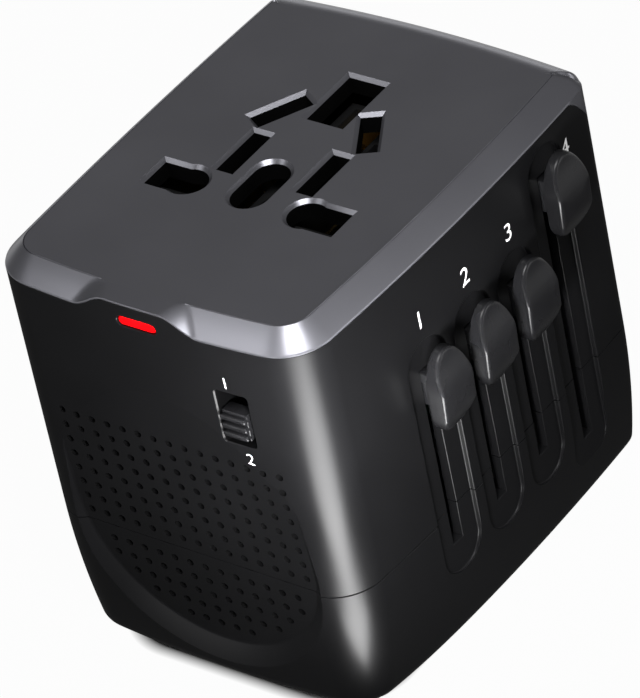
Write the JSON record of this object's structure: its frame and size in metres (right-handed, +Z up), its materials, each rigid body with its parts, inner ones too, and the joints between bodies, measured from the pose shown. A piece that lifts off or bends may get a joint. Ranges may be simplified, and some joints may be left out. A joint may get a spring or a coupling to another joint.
{
  "type": "travel voltage converter",
  "caption": "Pocket travel voltage converter: a universal socket on top, a perforated front with a mode switch, and side sliders that push plug sets out of its foot.",
  "frame": {"origin": "centre of the flat foot that the block stands on, at the height of that face", "axes": "+Z up to the socket face, -Y the grille face, +X the face with the four sliders"},
  "size_m": [0.0565, 0.0664, 0.063],
  "materials": {
    "cap_grey": "satin metallic paint",
    "case_black": "satin moulded",
    "knob_black": "semi-gloss moulded",
    "moulding": "matt moulded",
    "inner_moulding": "matt moulded",
    "red_lens": "clear red",
    "pin_brass": "polished",
    "spring_brass": "rolled",
    "plated_steel": "nickel plated",
    "board_green": "solder mask",
    "sink_aluminium": "extruded",
    "cutout_blue": "moulded",
    "ferrite": "sintered",
    "copper_wire": "enamelled wire",
    "capacitor_red": "dipped",
    "fuse_glass": "clear"
  },
  "bodies": {
    "case": {"top_cap": "cap_grey", "upper_case": "case_black", "lower_case": "case_black", "led_lens": "red_lens", "indicator_led": "red_lens", "mode_switch_body": "moulding", "socket_body": "inner_moulding", "live_contact": "spring_brass", "neutral_contact": "spring_brass", "earth_contact": "spring_brass", "shutter_springs": "plated_steel", "main_board": "board_green", "heat_sink": "sink_aluminium", "triac": "moulding", "thermal_cutout": "cutout_blue", "choke_core": "ferrite", "choke_winding": "copper_wire", "film_capacitor": "capacitor_red", "bridge_rectifier": "moulding", "fuse": "fuse_glass", "fuse_clips": "spring_brass", "live_rail": "spring_brass", "neutral_rail": "spring_brass", "case_screws": "plated_steel", "cap_screws": "plated_steel", "board_screws": "plated_steel"},
    "mode_switch": {"mode_switch_knob": "knob_black"},
    "uk_set": {"uk_slider_knob": "knob_black", "uk_carriage": "moulding", "uk_line_pins": "pin_brass", "uk_pin_sleeves": "case_black", "uk_earth_pin": "pin_brass"},
    "aus_set": {"aus_slider_knob": "knob_black", "aus_carriage": "moulding", "aus_blades": "pin_brass"},
    "usa_set": {"usa_slider_knob": "knob_black", "usa_carriage": "moulding", "usa_blades": "pin_brass"},
    "eu_set": {"eu_slider_knob": "knob_black", "eu_carriage": "moulding", "eu_pins": "plated_steel", "eu_pin_sleeves": "case_black"},
    "shutter": {"safety_shutter": "inner_moulding"}
  },
  "joints": [
    {"name": "uk_slide", "type": "slide", "parent": "case", "child": "uk_set", "axis": [0, 0, -1], "range_m": [0, 0.0206]},
    {"name": "aus_slide", "type": "slide", "parent": "case", "child": "aus_set", "axis": [0, 0, -1], "range_m": [0, 0.0206]},
    {"name": "usa_slide", "type": "slide", "parent": "case", "child": "usa_set", "axis": [0, 0, -1], "range_m": [0, 0.0206]},
    {"name": "eu_slide", "type": "slide", "parent": "case", "child": "eu_set", "axis": [0, 0, -1], "range_m": [0, 0.0368]},
    {"name": "mode_slide", "type": "slide", "parent": "case", "child": "mode_switch", "axis": [0, 0, 1], "range_m": [0, 0.0033]},
    {"name": "shutter_slide", "type": "slide", "parent": "case", "child": "shutter", "axis": [0, -1, 0], "range_m": [0, 0.0062], "stiffness_N_per_m": 60, "springref_m": -0.001, "deforming": ["shutter_springs"]}
  ]
}
